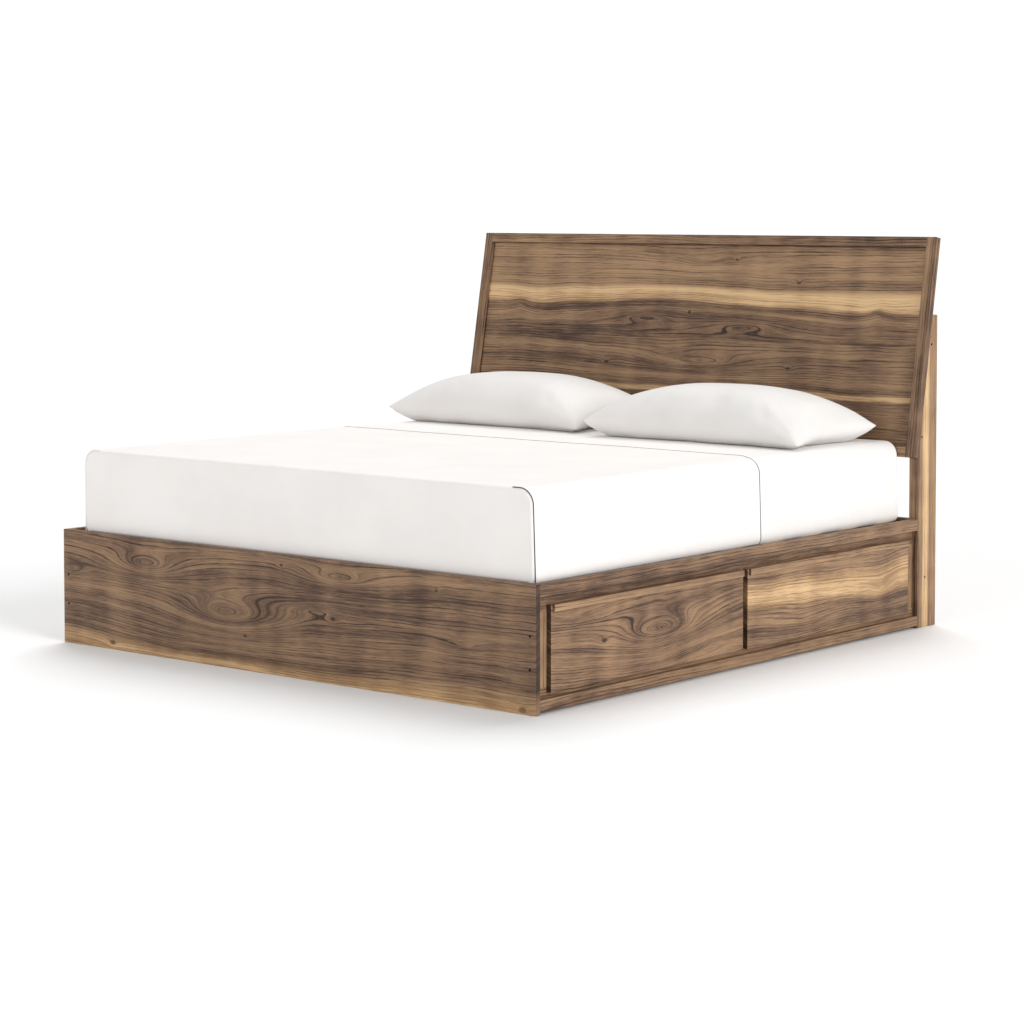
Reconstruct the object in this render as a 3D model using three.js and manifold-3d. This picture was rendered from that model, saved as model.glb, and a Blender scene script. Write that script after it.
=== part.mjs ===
// Platform bed in walnut with two storage drawers on one side, a leaning headboard, mattress and pillows.
// Millimetres. X runs across the bed, towards the drawer side. Y runs from foot to head. Z is up.
import * as THREE from "three";
import { RoundedBoxGeometry } from "three/addons/geometries/RoundedBoxGeometry.js";
import { mergeVertices } from "three/addons/utils/BufferGeometryUtils.js";
import Module from "manifold-3d";

// overall sizes
const BED_WIDTH = 2040;
const RAIL_LENGTH = 2049;
const SIDE_HEIGHT = 378;

// gap left between pieces that touch
const FIT_GAP = 0.3;

// footboard
const FOOTBOARD_THICKNESS = 18;
const FOOT_BOLT_INSET = 23;
const FOOT_BOLT_HEIGHT_SHARES = [0.345, 0.603];

// bolt recesses in the footboard and the posts
const BOLT_RADIUS = 4.5;
const BOLT_DEPTH = 6;
const BOLT_SIDES = 24;

// posts that carry the headboard
const POST_WIDTH = 35;
const POST_DEPTH = 118;
const POST_HEIGHT = 1078;
const POST_LOW_BOLT_HEIGHT = 173;
const POST_LOW_BOLT_SETBACK = 49;
const POST_HIGH_BOLT_HEIGHTS = [660, 977];
const POST_HIGH_BOLT_SETBACK = 11;

// leaning headboard
const HEADBOARD_FOOT_HEIGHT = 588;
const HEADBOARD_LENGTH = 766;
const HEADBOARD_THICKNESS = 30;
const HEADBOARD_LEAN = 10.2;
const HEAD_STILE_WIDTH = 36;
const HEAD_RAIL_WIDTH = 34;
const HEAD_PANEL_THICKNESS = 14;
const HEAD_PANEL_SETBACK = 13;
const LOWER_PLANK_SHARE = 0.495;

// outer rails of the two sides
const RAIL_THICKNESS = 21;
const TOP_RAIL_HEIGHT = 39;
const BOTTOM_RAIL_HEIGHT = 33;
const FLOOR_GAP = 9;

// face frame of the storage side
const FACE_THICKNESS = 18;
const DRAWER_END_MARGIN = 54.5;
const DRAWER_GAP = 25;
const OVERLAY_SIDE = 23;
const REVEAL_BELOW_FRONT = 16;
const REVEAL_ABOVE_FRONT = 27;
const OVERLAY_LOW = 14;
const OVERLAY_HIGH = 20;
const FACE_TOP_DROP = 13;

// drawers
const FRONT_THICKNESS = 16.5;
const FRONT_GAP = 0.5;
const BATTEN_HEIGHT = 20;
const BATTEN_PROUD = 9;
const BATTEN_INSET = 6;
const BOX_DEPTH = 469;
const BOX_WALL = 15;
const BOX_SIDE_CLEARANCE = 3;
const BOX_LOW_CLEARANCE = 4;
const BOX_TOP_CLEARANCE = 26;
const BOX_BOTTOM_LIFT = 8;
const BOX_BOTTOM_THICKNESS = 8;

// storage case behind the face frame
const CASE_WALL = 18;
const CASE_BACK_THICKNESS = 12;
const CASE_BACK_CLEARANCE = 38;
const CASE_PANEL_SETBACK = 4;
const CASE_FLOOR_LOW = 36;
const RUNNER_CLEARANCE = 0.5;
const RUNNER_OVERLAP = 6;
const RUNNER_BACK_SETBACK = 6;

// mattress support
const SLAT_THICKNESS = 18;
const SLAT_WIDTH = 110;
const SLAT_COUNT = 9;
const LEDGE_WIDTH = 25;
const LEDGE_HEIGHT = 40;
const SLAT_END_CLEARANCE = 1;
const MATTRESS_SINK = 12;
const BEAM_WIDTH = 40;
const BEAM_HEIGHT = 80;
const BEAM_LEG_DEPTH = 70;
const BEAM_LEG_SHARES = [0.27, 0.73];

// rails between the posts
const HEAD_RAIL_THICKNESS = 21;
const BRACE_THICKNESS = 22;
const BRACE_LOW = 900;
const BRACE_HIGH = 1000;
const BRACE_CLEARANCE = 10;

// mattress and bedding
const MATTRESS_HEIGHT = 280;
const MATTRESS_RADIUS = 46;
const MATTRESS_DRAWER_SIDE_GAP = 5;
const MATTRESS_PLAIN_SIDE_GAP = 63;
const MATTRESS_FOOT_GAP = 8;
const MATTRESS_HEAD_GAP = 4;
const SHEET_THICKNESS = 2.2;
const SHEET_LENGTH_SHARE = 0.602;
const SHEET_DROP = 270;
const PILLOW_WIDTH_SHARE = 0.4736;
const PILLOW_DEPTH = 500;
const PILLOW_HEIGHT = 190;
const PILLOW_EDGE = 14;
const PILLOW_CORNER_PULL = 0.05;
const PILLOW_SQUASH = 0.62;
const PILLOW_STEPS = 22;
const PILLOW_POWER = 2.6;
const PILLOW_PAST_MATTRESS = 12;
const PILLOW_OVERHANG_LEFT = 42;
const PILLOW_INSET_RIGHT = 80;
const PILLOW_STAGGER = 60;

// positions that follow from the sizes above
const halfWidth = BED_WIDTH / 2;
const footInner = FOOTBOARD_THICKNESS;
const postFront = footInner + RAIL_LENGTH;
const postBack = postFront + POST_DEPTH;
const railOuter = halfWidth;
const railInner = halfWidth - RAIL_THICKNESS;
const faceInner = railInner - FACE_THICKNESS;
const lean = THREE.MathUtils.degToRad(HEADBOARD_LEAN);
const frontOuter = railInner + FRONT_GAP + FRONT_THICKNESS;
const battenOuter = frontOuter + FIT_GAP + BATTEN_PROUD;
const bedBack = Math.max(postBack, postFront + HEADBOARD_LENGTH * Math.sin(lean));
const middleX = (Math.max(battenOuter, halfWidth) - halfWidth) / 2;
const middleY = bedBack / 2;
const frontLength = (RAIL_LENGTH - 2 * DRAWER_END_MARGIN - DRAWER_GAP) / 2;
const drawerFrontLow = FLOOR_GAP + BOTTOM_RAIL_HEIGHT + REVEAL_BELOW_FRONT;
const drawerFrontHigh = SIDE_HEIGHT - TOP_RAIL_HEIGHT - REVEAL_ABOVE_FRONT;
const openingLow = drawerFrontLow + OVERLAY_LOW;
const openingHigh = drawerFrontHigh - OVERLAY_HIGH;
const slatTop = SIDE_HEIGHT - MATTRESS_SINK;
const slatLow = slatTop - SLAT_THICKNESS;
const ledgeHigh = slatLow - FIT_GAP;
const faceTop = SIDE_HEIGHT - FACE_TOP_DROP;
const mattressLow = slatTop + FIT_GAP;
const mattressTop = mattressLow + MATTRESS_HEIGHT;

const wasm = await Module();
wasm.setup();
const { Manifold, Mesh: SolidMesh } = wasm;

// the bed's origin is on the floor, under the middle of its outer box
const bed = new THREE.Group();
const frame = new THREE.Group();
frame.position.set(-middleX, -middleY, 0);
bed.add(frame);

// colours and finishes of what the bed is made of
const walnut = { color: 0x7b6048, roughness: 0.55, metalness: 0 };
const innerWood = { color: 0xb08f68, roughness: 0.65, metalness: 0 };
const slatWood = { color: 0xc9ac80, roughness: 0.7, metalness: 0 };
const whiteCotton = { color: 0xf2f0ee, roughness: 0.95, metalness: 0 };

function addNode(group, name, geometry, finish) {
  const mesh = new THREE.Mesh(geometry, new THREE.MeshStandardMaterial(finish));
  mesh.name = name;
  group.add(mesh);
}

function boxBetween(low, high) {
  const geometry = new THREE.BoxGeometry(high[0] - low[0], high[1] - low[1], high[2] - low[2]);
  geometry.translate((low[0] + high[0]) / 2, (low[1] + high[1]) / 2, (low[2] + high[2]) / 2);
  return geometry;
}

function addBoard(group, name, low, high, finish) {
  addNode(group, name, boxBetween(low, high), finish);
}

function toSolid(geometry) {
  const bare = geometry.clone();
  bare.deleteAttribute("normal");
  bare.deleteAttribute("uv");
  const welded = mergeVertices(bare, 1e-3);
  const mesh = new SolidMesh({
    numProp: 3,
    vertProperties: Float32Array.from(welded.attributes.position.array),
    triVerts: Uint32Array.from(welded.index.array),
  });
  return new Manifold(mesh);
}

function fromSolid(solid) {
  const mesh = solid.getMesh();
  const geometry = new THREE.BufferGeometry();
  geometry.setAttribute("position", new THREE.BufferAttribute(Float32Array.from(mesh.vertProperties), 3));
  geometry.setIndex(new THREE.BufferAttribute(Uint32Array.from(mesh.triVerts), 1));
  geometry.computeVertexNormals();
  return geometry;
}

function cutAway(geometry, cutters) {
  let solid = toSolid(geometry);
  for (const cutter of cutters) {
    solid = solid.subtract(toSolid(cutter));
  }
  return fromSolid(solid);
}

// a bolt recess lying along X (axis "x") or Y (axis "y"), centred on the given point
function boltCutter(axis, point) {
  const cutter = new THREE.CylinderGeometry(BOLT_RADIUS, BOLT_RADIUS, 2 * BOLT_DEPTH, BOLT_SIDES);
  if (axis === "x") {
    cutter.rotateZ(Math.PI / 2);
  }
  cutter.translate(point[0], point[1], point[2]);
  return cutter;
}

// footboard: one board across the whole width, with a bolt recess above another near each end
const footCutters = [];
for (const side of [-1, 1]) {
  for (const share of FOOT_BOLT_HEIGHT_SHARES) {
    footCutters.push(boltCutter("y", [side * (halfWidth - FOOT_BOLT_INSET), 0, SIDE_HEIGHT * share]));
  }
}
const footBoard = boxBetween([-halfWidth, 0, 0], [halfWidth, footInner, SIDE_HEIGHT]);
addNode(frame, "footboard_panel", cutAway(footBoard, footCutters), walnut);

// point on the headboard's rear plane at a given height
function rearPlaneY(height) {
  return postFront + Math.max(0, height - HEADBOARD_FOOT_HEIGHT) * Math.tan(lean);
}

// posts: upright, cut square on top, the front cut to the headboard's lean above its foot
function addPost(name, side) {
  const slantGap = FIT_GAP / Math.cos(lean);
  const profile = new THREE.Shape();
  profile.moveTo(postFront, 0);
  profile.lineTo(postBack, 0);
  profile.lineTo(postBack, POST_HEIGHT);
  profile.lineTo(rearPlaneY(POST_HEIGHT) + slantGap, POST_HEIGHT);
  profile.lineTo(postFront, HEADBOARD_FOOT_HEIGHT - slantGap / Math.tan(lean));
  profile.closePath();
  const geometry = new THREE.ExtrudeGeometry(profile, { depth: POST_WIDTH, bevelEnabled: false });
  // the profile is drawn in X and Y, and turned so that it stands in Y and Z
  geometry.rotateX(Math.PI / 2);
  geometry.rotateZ(Math.PI / 2);
  const start = side > 0 ? halfWidth - POST_WIDTH : -halfWidth;
  geometry.translate(start, 0, 0);
  const outer = side * halfWidth;
  const cutters = [boltCutter("x", [outer, postFront + POST_LOW_BOLT_SETBACK, POST_LOW_BOLT_HEIGHT])];
  for (const height of POST_HIGH_BOLT_HEIGHTS) {
    cutters.push(boltCutter("x", [outer, rearPlaneY(height) + POST_HIGH_BOLT_SETBACK, height]));
  }
  addNode(frame, name, cutAway(geometry, cutters), walnut);
}
addPost("left_post", -1);
addPost("right_post", 1);

// headboard: drawn upright with its rear face on the group's own X and Z, and tilted back as one group
const headboard = new THREE.Group();
headboard.position.set(0, postFront, HEADBOARD_FOOT_HEIGHT);
headboard.rotation.x = -lean;
frame.add(headboard);
const stileInner = halfWidth - HEAD_STILE_WIDTH;
const panelReach = stileInner - FIT_GAP;
const plankJoint = HEADBOARD_LENGTH * LOWER_PLANK_SHARE;
const panelFront = HEADBOARD_THICKNESS - HEAD_PANEL_SETBACK;
const panelBack = panelFront - HEAD_PANEL_THICKNESS;
const topRailLow = HEADBOARD_LENGTH - HEAD_RAIL_WIDTH;
for (const [name, lowX, highX] of [["left", -halfWidth, -stileInner], ["right", stileInner, halfWidth]]) {
  addBoard(headboard, `headboard_${name}_stile`,
    [lowX, -HEADBOARD_THICKNESS, 0],
    [highX, 0, HEADBOARD_LENGTH], walnut);
}
for (const [name, lowUp, highUp] of [["top", topRailLow, HEADBOARD_LENGTH], ["bottom", 0, HEAD_RAIL_WIDTH]]) {
  addBoard(headboard, `headboard_${name}_rail`,
    [-panelReach, -HEADBOARD_THICKNESS, lowUp],
    [panelReach, 0, highUp], walnut);
}
const planks = [
  ["upper", plankJoint + FIT_GAP, topRailLow - FIT_GAP],
  ["lower", HEAD_RAIL_WIDTH + FIT_GAP, plankJoint],
];
for (const [name, lowUp, highUp] of planks) {
  addBoard(headboard, `headboard_${name}_plank`,
    [-panelReach, -panelFront, lowUp],
    [panelReach, -panelBack, highUp], walnut);
}

// rails between the posts
const betweenPosts = halfWidth - POST_WIDTH - FIT_GAP;
addBoard(frame, "head_rail",
  [-betweenPosts, postFront, FLOOR_GAP],
  [betweenPosts, postFront + HEAD_RAIL_THICKNESS, SIDE_HEIGHT], walnut);
const braceFront = rearPlaneY(BRACE_HIGH) + BRACE_CLEARANCE;
addBoard(frame, "rear_brace",
  [-betweenPosts, braceFront, BRACE_LOW],
  [betweenPosts, braceFront + BRACE_THICKNESS, BRACE_HIGH], walnut);

// outer rails of the sides run between the footboard and the posts
const railStart = footInner + FIT_GAP;
const railEnd = postFront - FIT_GAP;
addBoard(frame, "left_side_rail",
  [-halfWidth, railStart, FLOOR_GAP],
  [-railInner, railEnd, SIDE_HEIGHT], walnut);
addBoard(frame, "right_top_rail",
  [railInner + FIT_GAP, railStart, SIDE_HEIGHT - TOP_RAIL_HEIGHT],
  [railOuter, railEnd, SIDE_HEIGHT], walnut);
addBoard(frame, "right_bottom_rail",
  [railInner + FIT_GAP, railStart, FLOOR_GAP],
  [railOuter, railEnd, FLOOR_GAP + BOTTOM_RAIL_HEIGHT], walnut);

// the two drawers, from the foot: where each front starts and ends, and its opening in the face frame
const drawers = ["foot", "head"].map((place, index) => {
  const frontStart = footInner + DRAWER_END_MARGIN + index * (frontLength + DRAWER_GAP);
  const frontEnd = frontStart + frontLength;
  const openingStart = frontStart + OVERLAY_SIDE;
  const openingEnd = frontEnd - OVERLAY_SIDE;
  return { place, frontStart, openingStart, openingEnd };
});
const [footDrawer, headDrawer] = drawers;

// face frame: three stiles, and a top and a bottom member behind the outer rails
const faceStiles = [
  ["face_foot_stile", railStart, footDrawer.openingStart],
  ["face_centre_stile", footDrawer.openingEnd, headDrawer.openingStart],
  ["face_head_stile", headDrawer.openingEnd, railEnd],
];
for (const [name, start, end] of faceStiles) {
  addBoard(frame, name,
    [faceInner, start, openingLow + FIT_GAP],
    [railInner, end, openingHigh - FIT_GAP], walnut);
}
addBoard(frame, "face_top_member",
  [faceInner, railStart, openingHigh],
  [railInner, railEnd, faceTop], walnut);
addBoard(frame, "face_bottom_member",
  [faceInner, railStart, FLOOR_GAP],
  [railInner, railEnd, openingLow], walnut);

// storage case: panels that stand on the floor, a floor board, a back, and a runner under each drawer side
const caseFront = faceInner - FIT_GAP;
const boxBack = railInner + FRONT_GAP - FIT_GAP - BOX_DEPTH;
const caseBack = boxBack - CASE_BACK_CLEARANCE;
const caseTop = ledgeHigh - LEDGE_HEIGHT - FIT_GAP;
const casePanelStart = footDrawer.openingStart - CASE_PANEL_SETBACK - CASE_WALL;
const casePanelEnd = headDrawer.openingEnd + CASE_PANEL_SETBACK + CASE_WALL;
const dividerMiddle = (footDrawer.openingEnd + headDrawer.openingStart) / 2;
const caseFloorTop = CASE_FLOOR_LOW + CASE_WALL;
const underFloor = caseFloorTop + FIT_GAP;
addBoard(frame, "case_foot_panel",
  [caseBack, casePanelStart, 0],
  [caseFront, casePanelStart + CASE_WALL, caseTop], innerWood);
addBoard(frame, "case_head_panel",
  [caseBack, casePanelEnd - CASE_WALL, 0],
  [caseFront, casePanelEnd, caseTop], innerWood);
addBoard(frame, "case_divider",
  [caseBack, dividerMiddle - CASE_WALL / 2, underFloor],
  [caseFront, dividerMiddle + CASE_WALL / 2, caseTop], innerWood);
addBoard(frame, "case_floor",
  [caseBack, casePanelStart + CASE_WALL + FIT_GAP, CASE_FLOOR_LOW],
  [caseFront, casePanelEnd - CASE_WALL - FIT_GAP, caseFloorTop], innerWood);
addBoard(frame, "case_back",
  [caseBack - FIT_GAP - CASE_BACK_THICKNESS, casePanelStart, 0],
  [caseBack - FIT_GAP, casePanelEnd, caseTop], innerWood);

// a runner lies on the case floor, from a case wall to just past the drawer side that it carries
const boxLow = openingLow + BOX_LOW_CLEARANCE;
const boxHigh = openingHigh - BOX_TOP_CLEARANCE;
const runnerBack = caseBack + RUNNER_BACK_SETBACK;
function addRunner(name, wallY, boxY, direction) {
  const start = wallY + direction * FIT_GAP;
  const end = boxY + direction * (BOX_WALL + RUNNER_OVERLAP);
  addBoard(frame, name,
    [runnerBack, Math.min(start, end), underFloor],
    [caseFront, Math.max(start, end), boxLow - RUNNER_CLEARANCE], innerWood);
}
const dividerStart = dividerMiddle - CASE_WALL / 2;
const dividerEnd = dividerMiddle + CASE_WALL / 2;
const edgeToBox = OVERLAY_SIDE + BOX_SIDE_CLEARANCE;
const footBoxStart = footDrawer.frontStart + edgeToBox;
const headBoxStart = headDrawer.frontStart + edgeToBox;
const boxLength = frontLength - 2 * edgeToBox;
addRunner("runner_foot_a", casePanelStart + CASE_WALL, footBoxStart, 1);
addRunner("runner_foot_b", dividerStart, footBoxStart + boxLength, -1);
addRunner("runner_head_a", dividerEnd, headBoxStart, 1);
addRunner("runner_head_b", casePanelEnd - CASE_WALL, headBoxStart + boxLength, -1);

// drawer: an overlay front with a pull batten along its top, and a plain box behind it;
// each drawer is a group that starts at the foot end of its own front
const boxFront = boxBack + BOX_DEPTH;
const boxWallInner = edgeToBox + BOX_WALL + FIT_GAP;
const boxBoardLow = boxLow + BOX_BOTTOM_LIFT;
for (const { place, frontStart } of drawers) {
  const drawer = new THREE.Group();
  drawer.position.y = frontStart;
  frame.add(drawer);
  addBoard(drawer, `drawer_${place}_front`,
    [railInner + FRONT_GAP, 0, drawerFrontLow],
    [frontOuter, frontLength, drawerFrontHigh], walnut);
  addBoard(drawer, `drawer_${place}_pull`,
    [frontOuter + FIT_GAP, BATTEN_INSET, drawerFrontHigh - BATTEN_HEIGHT],
    [battenOuter, frontLength - BATTEN_INSET, drawerFrontHigh], walnut);
  addBoard(drawer, `drawer_${place}_side_a`,
    [boxBack, edgeToBox, boxLow],
    [boxFront, edgeToBox + BOX_WALL, boxHigh], innerWood);
  addBoard(drawer, `drawer_${place}_side_b`,
    [boxBack, frontLength - edgeToBox - BOX_WALL, boxLow],
    [boxFront, frontLength - edgeToBox, boxHigh], innerWood);
  addBoard(drawer, `drawer_${place}_back`,
    [boxBack, boxWallInner, boxBoardLow],
    [boxBack + BOX_WALL, frontLength - boxWallInner, boxHigh], innerWood);
  addBoard(drawer, `drawer_${place}_bottom`,
    [boxBack + BOX_WALL + FIT_GAP, boxWallInner, boxBoardLow],
    [boxFront, frontLength - boxWallInner, boxBoardLow + BOX_BOTTOM_THICKNESS], innerWood);
}

// mattress support: a ledge along each side, a beam on two legs down the middle, and slats across
addBoard(frame, "left_slat_ledge",
  [-railInner + FIT_GAP, railStart, ledgeHigh - LEDGE_HEIGHT],
  [-railInner + FIT_GAP + LEDGE_WIDTH, railEnd, ledgeHigh], innerWood);
addBoard(frame, "right_slat_ledge",
  [faceInner - FIT_GAP - LEDGE_WIDTH, railStart, ledgeHigh - LEDGE_HEIGHT],
  [faceInner - FIT_GAP, railEnd, ledgeHigh], innerWood);
addBoard(frame, "centre_beam",
  [-BEAM_WIDTH / 2, railStart, ledgeHigh - BEAM_HEIGHT],
  [BEAM_WIDTH / 2, railEnd, ledgeHigh], innerWood);
for (const [index, share] of BEAM_LEG_SHARES.entries()) {
  const legMiddle = footInner + RAIL_LENGTH * share;
  addBoard(frame, `beam_leg_${index + 1}`,
    [-BEAM_WIDTH / 2, legMiddle - BEAM_LEG_DEPTH / 2, 0],
    [BEAM_WIDTH / 2, legMiddle + BEAM_LEG_DEPTH / 2, ledgeHigh - BEAM_HEIGHT - FIT_GAP], innerWood);
}
const slatPitch = RAIL_LENGTH / SLAT_COUNT;
for (let index = 0; index < SLAT_COUNT; index += 1) {
  const slatMiddle = footInner + slatPitch * (index + 0.5);
  addBoard(frame, `slat_${index + 1}`,
    [-railInner + SLAT_END_CLEARANCE, slatMiddle - SLAT_WIDTH / 2, slatLow],
    [faceInner - SLAT_END_CLEARANCE, slatMiddle + SLAT_WIDTH / 2, slatTop], slatWood);
}

// mattress: a rounded block against the drawer side
const mattressRight = railInner - MATTRESS_DRAWER_SIDE_GAP;
const mattressLeft = -railInner + MATTRESS_PLAIN_SIDE_GAP;
const mattressWidth = mattressRight - mattressLeft;
const mattressFoot = footInner + MATTRESS_FOOT_GAP;
const headFootFront = postFront - HEADBOARD_THICKNESS / Math.cos(lean);
const mattressHead = headFootFront - MATTRESS_HEAD_GAP;
const mattressLength = mattressHead - mattressFoot;
const mattressMiddle = [(mattressLeft + mattressRight) / 2, (mattressFoot + mattressHead) / 2];

function roundedBlock(grow, segments) {
  const block = new RoundedBoxGeometry(
    mattressWidth + 2 * grow,
    mattressLength + 2 * grow,
    MATTRESS_HEIGHT + 2 * grow,
    segments,
    MATTRESS_RADIUS + grow,
  );
  block.translate(mattressMiddle[0], mattressMiddle[1], (mattressLow + mattressTop) / 2);
  return block;
}
addNode(frame, "mattress", roundedBlock(0, 6), whiteCotton);

// flat sheet: a thin cover over the foot part of the mattress, hanging down its foot and both sides
const sheetHead = mattressFoot + mattressLength * SHEET_LENGTH_SHARE;
const sheetHem = mattressTop - SHEET_DROP;
const reach = BED_WIDTH;
const beyondHead = boxBetween([-reach, sheetHead, 0], [reach, sheetHead + reach, reach]);
const belowHem = boxBetween([-reach, -reach, -reach], [reach, sheetHead + reach, sheetHem]);
addNode(frame, "flat_sheet",
  cutAway(roundedBlock(FIT_GAP + SHEET_THICKNESS, 6), [roundedBlock(FIT_GAP, 6), beyondHead, belowHem]),
  whiteCotton);

const pillowWidth = mattressWidth * PILLOW_WIDTH_SHARE;

// pillow: a closed cushion whose thickness falls off to a seam edge, with its corners drawn out to points
function pillowGeometry() {
  const geometry = new THREE.BoxGeometry(2, 2, 2, PILLOW_STEPS, PILLOW_STEPS / 2, 1);
  const position = geometry.attributes.position;
  for (let index = 0; index < position.count; index += 1) {
    const across = position.getX(index);
    const along = position.getY(index);
    const side = Math.sign(position.getZ(index));
    const fall = (1 - Math.abs(across) ** PILLOW_POWER) * (1 - Math.abs(along) ** PILLOW_POWER);
    const swell = Math.sqrt(Math.max(0, fall));
    const corner = (across * along) ** 2;
    const spread = 1 - PILLOW_CORNER_PULL * (1 - corner);
    const bulge = side > 0 ? 1 : PILLOW_SQUASH;
    const lift = (PILLOW_EDGE / 2) + bulge * swell * (PILLOW_HEIGHT - PILLOW_EDGE) / (1 + PILLOW_SQUASH);
    position.setXYZ(index,
      across * spread * pillowWidth / 2,
      along * spread * PILLOW_DEPTH / 2,
      side * lift);
  }
  geometry.computeBoundingBox();
  geometry.translate(0, 0, -geometry.boundingBox.min.z);
  geometry.computeVertexNormals();
  return geometry;
}
const pillowBed = mattressTop + FIT_GAP;
const pillowMiddleY = mattressHead + PILLOW_PAST_MATTRESS - PILLOW_DEPTH / 2;
const pillows = [
  ["pillow_left", mattressLeft - PILLOW_OVERHANG_LEFT + pillowWidth / 2, pillowMiddleY],
  ["pillow_right", mattressRight - PILLOW_INSET_RIGHT - pillowWidth / 2, pillowMiddleY - PILLOW_STAGGER],
];
for (const [name, middle, along] of pillows) {
  const pillow = pillowGeometry();
  pillow.translate(middle, along, pillowBed);
  addNode(frame, name, pillow, whiteCotton);
}

export default bed;
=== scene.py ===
import math

import bmesh
import bpy
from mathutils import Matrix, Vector, noise


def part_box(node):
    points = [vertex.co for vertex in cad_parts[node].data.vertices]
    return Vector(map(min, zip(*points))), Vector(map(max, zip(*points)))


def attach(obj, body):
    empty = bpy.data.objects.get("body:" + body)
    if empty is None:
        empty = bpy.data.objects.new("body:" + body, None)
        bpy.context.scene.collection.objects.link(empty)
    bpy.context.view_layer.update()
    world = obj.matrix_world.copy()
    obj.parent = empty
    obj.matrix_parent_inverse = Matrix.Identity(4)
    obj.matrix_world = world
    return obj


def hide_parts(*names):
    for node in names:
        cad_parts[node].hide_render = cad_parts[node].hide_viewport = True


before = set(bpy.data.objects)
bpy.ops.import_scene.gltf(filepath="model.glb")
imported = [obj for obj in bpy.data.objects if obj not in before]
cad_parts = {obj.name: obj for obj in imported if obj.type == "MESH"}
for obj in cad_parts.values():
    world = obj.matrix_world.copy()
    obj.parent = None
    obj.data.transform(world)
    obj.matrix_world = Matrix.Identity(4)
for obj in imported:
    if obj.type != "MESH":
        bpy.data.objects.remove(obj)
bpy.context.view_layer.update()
scene = bpy.context.scene
scene.view_settings.view_transform = "Standard"

# ---- camera

CAMERA_PLACE = (5.8101, -6.9316, 1.4605)
CAMERA_TURN = 39.942      # degrees round from the foot towards the drawer side
CAMERA_DIP = 3.093        # degrees below level
CAMERA_SENSOR = 36.0      # mm
CAMERA_LENS = 93.815      # mm
CAMERA_SHIFT = -0.16      # the bed sits a little low in the frame


def make_camera():
    lens = bpy.data.cameras.new("studio_camera")
    lens.sensor_width = CAMERA_SENSOR
    lens.lens = CAMERA_LENS
    lens.shift_y = CAMERA_SHIFT
    camera = bpy.data.objects.new("studio_camera", lens)
    camera.location = CAMERA_PLACE
    camera.rotation_euler = (math.radians(90 - CAMERA_DIP), 0, math.radians(CAMERA_TURN))
    scene.collection.objects.link(camera)
    scene.camera = camera


make_camera()

# ---- helpers

X, Y, Z = Vector((1, 0, 0)), Vector((0, 1, 0)), Vector((0, 0, 1))
LEAN = math.radians(10.2)                                   # the headboard leans back
UP_HEADBOARD = Vector((0, math.sin(LEAN), math.cos(LEAN)))


def linear(hex_colour):
    """An sRGB hex colour as the linear colour a shader takes."""
    parts = [int(hex_colour[i:i + 2], 16) / 255 for i in (1, 3, 5)]
    return [c / 12.92 if c <= 0.04045 else ((c + 0.055) / 1.055) ** 2.4 for c in parts] + [1.0]


def add(tree, kind, inputs=(), **settings):
    """Adds a node. Inputs are values, nodes or sockets, in order or by name; settings are its own."""
    node = tree.nodes.new("ShaderNode" + kind)
    for name, value in settings.items():
        setattr(node, name, value)
    for socket, value in inputs.items() if isinstance(inputs, dict) else enumerate(inputs):
        if isinstance(value, bpy.types.Node):
            value = value.outputs[0]
        if isinstance(value, bpy.types.NodeSocket):
            tree.links.new(value, node.inputs[socket])
        else:
            node.inputs[socket].default_value = value
    return node


def blank_material(name):
    material = bpy.data.materials.new(name)
    material.use_nodes = True
    return material, material.node_tree, material.node_tree.nodes["Principled BSDF"]


def colours(node, *stops):
    """Sets a colour ramp's stops, each a place and a hex colour."""
    ramp = node.color_ramp
    while len(ramp.elements) < len(stops):
        ramp.elements.new(0.5)
    for element, (place, hex_colour) in zip(ramp.elements, stops):
        element.position = place
        element.color = linear(hex_colour)
    return node.outputs[0]


def place_piece(name, mesh, body, material):
    """Puts a mesh in the scene as a piece that rides on a body and takes a material."""
    piece = bpy.data.objects.new(name, mesh)
    scene.collection.objects.link(piece)
    mesh.materials.clear()
    mesh.materials.append(material)
    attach(piece, body)
    return piece


def mesh_from(builder, name):
    """A smooth-shaded mesh from a bmesh, which it frees."""
    mesh = bpy.data.meshes.new(name)
    builder.to_mesh(mesh)
    builder.free()
    mesh.shade_smooth()
    return mesh


def settle(piece):
    """Makes what a piece's modifiers do part of its mesh."""
    graph = bpy.context.evaluated_depsgraph_get()
    graph.update()
    rough = piece.data
    finished = bpy.data.meshes.new_from_object(piece.evaluated_get(graph), depsgraph=graph)
    piece.modifiers.clear()
    piece.data = finished
    finished.name = rough.name + "_finished"
    bpy.data.meshes.remove(rough)


# ---- walnut

# Black walnut, flat sawn, planed and finished with a satin oil: brown heartwood whose dark growth
# lines close into long ovals, and pale sapwood whose edge follows the same lines.
HEART_DARK = "#35271f"
HEART_LINE = "#574134"
HEART_MID = "#82664f"
HEART_LIGHT = "#ab8b69"
SAP_DARK = "#a27f5a"
SAP_LIGHT = "#dcb98c"
WALNUT_GLOSS = 0.25       # an oiled surface throws back less than a lacquered one
SATIN = (0.46, 0.60)      # roughness of the dark wood and of the pale

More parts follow.
